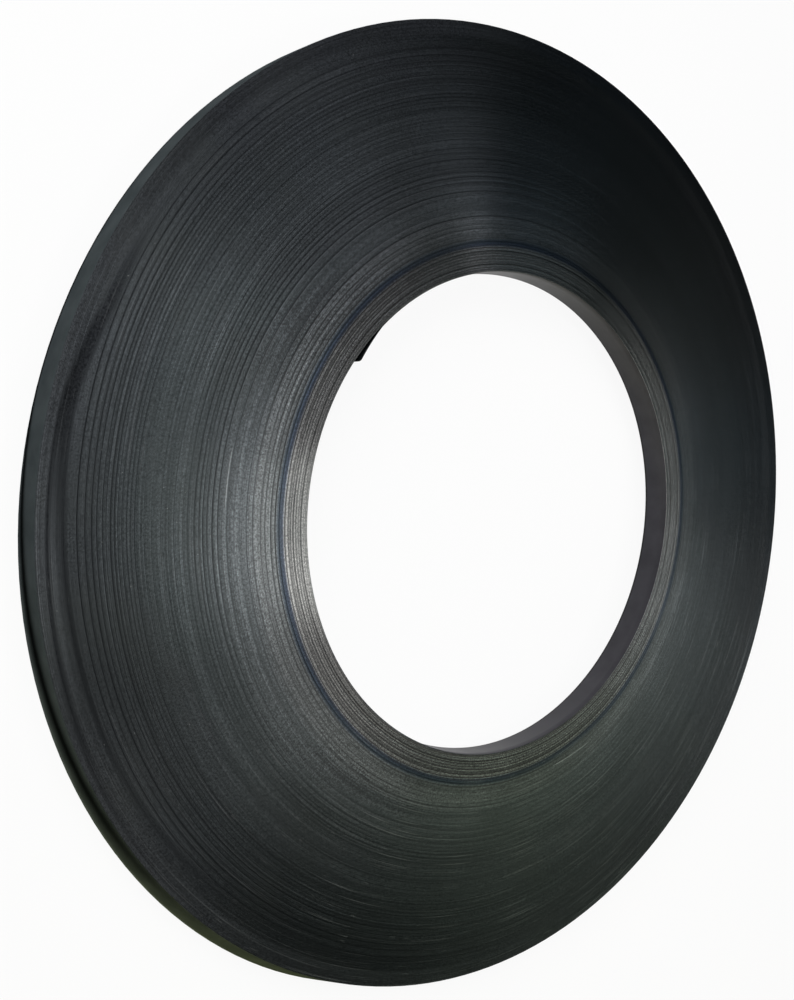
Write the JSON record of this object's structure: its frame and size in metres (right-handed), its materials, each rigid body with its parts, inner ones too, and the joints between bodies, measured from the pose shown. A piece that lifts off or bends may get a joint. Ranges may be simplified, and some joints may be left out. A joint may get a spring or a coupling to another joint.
{
  "type": "steel strapping coil",
  "caption": "Flat ring of black steel strap wound turn over turn, slightly dished, with an open round bore; feeds a strapping dispenser.",
  "frame": {"origin": "centre of the coil on the floor, at the level of the outermost turns' lower edges", "axes": "+Z up along the coil's axis, towards the raised inner turns; +X to the right in the picture; +Y up in the picture"},
  "size_m": [0.6079, 0.608, 0.0325],
  "materials": {
    "strap": "black paint with wax, satin"
  },
  "bodies": {
    "root": {"strap_coil": "strap"}
  },
  "joints": []
}
